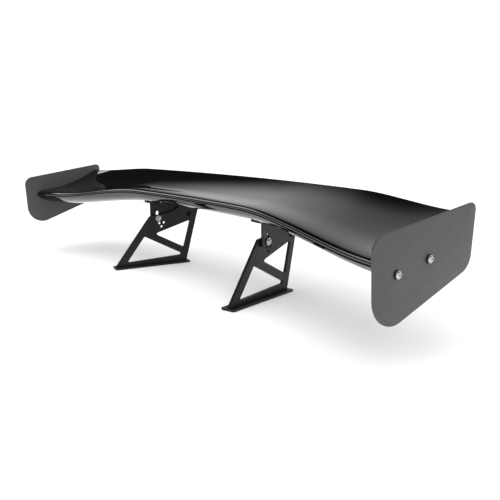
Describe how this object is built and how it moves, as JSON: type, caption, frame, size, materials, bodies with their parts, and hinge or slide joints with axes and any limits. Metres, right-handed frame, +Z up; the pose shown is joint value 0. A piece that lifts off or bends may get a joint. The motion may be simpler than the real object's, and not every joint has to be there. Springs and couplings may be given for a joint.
{
  "type": "rear wing",
  "caption": "Wide twisted racing rear wing with flat end plates on two toed-in windowed stands; the blade's angle is set on pivot bolts and slotted clamps.",
  "frame": {"origin": "under the middle of the whole wing, at the height of the feet's undersides", "axes": "+X along the span to the wing's right-hand tip as a person sees it from the front, +Y towards the trailing edge, +Z up"},
  "size_m": [1.613, 0.3608, 0.2872],
  "materials": {
    "gloss_black_skin": "moulded skin with a black clear-coated gloss finish",
    "moulded_web": "bare laminate",
    "rib_board": "plywood rib",
    "bare_alloy": "bare machined",
    "black_alloy": "black anodised, satin",
    "satin_plate": "dark satin coated sheet",
    "bright_steel": "zinc plated, bright",
    "dark_steel": "black oxide",
    "brass_insert": "turned"
  },
  "bodies": {
    "stands": {"left_stand_plate": "black_alloy", "right_stand_plate": "black_alloy", "left_foot": "black_alloy", "right_foot": "black_alloy", "foot_screws": "dark_steel", "pivot_bolts": "dark_steel", "pivot_washers": "dark_steel", "pivot_spacers": "dark_steel", "pivot_nuts": "dark_steel", "clamp_bolts": "bright_steel", "clamp_washers": "bright_steel", "clamp_spacers": "bright_steel", "clamp_nuts": "bright_steel"},
    "wing": {"upper_skin": "gloss_black_skin", "lower_skin": "gloss_black_skin", "front_spar": "moulded_web", "rear_spar": "moulded_web", "left_end_rib": "rib_board", "right_end_rib": "rib_board", "left_hardpoint": "bare_alloy", "right_hardpoint": "bare_alloy", "left_bracket": "black_alloy", "right_bracket": "black_alloy", "bracket_screws": "dark_steel", "left_end_plate": "satin_plate", "right_end_plate": "satin_plate", "end_plate_screws": "bright_steel", "end_plate_washers": "dark_steel", "end_plate_inserts": "brass_insert"}
  },
  "joints": [
    {"name": "angle_of_attack", "type": "hinge", "parent": "stands", "child": "wing", "pos_m": [0, 0.14025, 0.152], "axis": [1, 0, 0], "range_deg": [0, 10]}
  ]
}
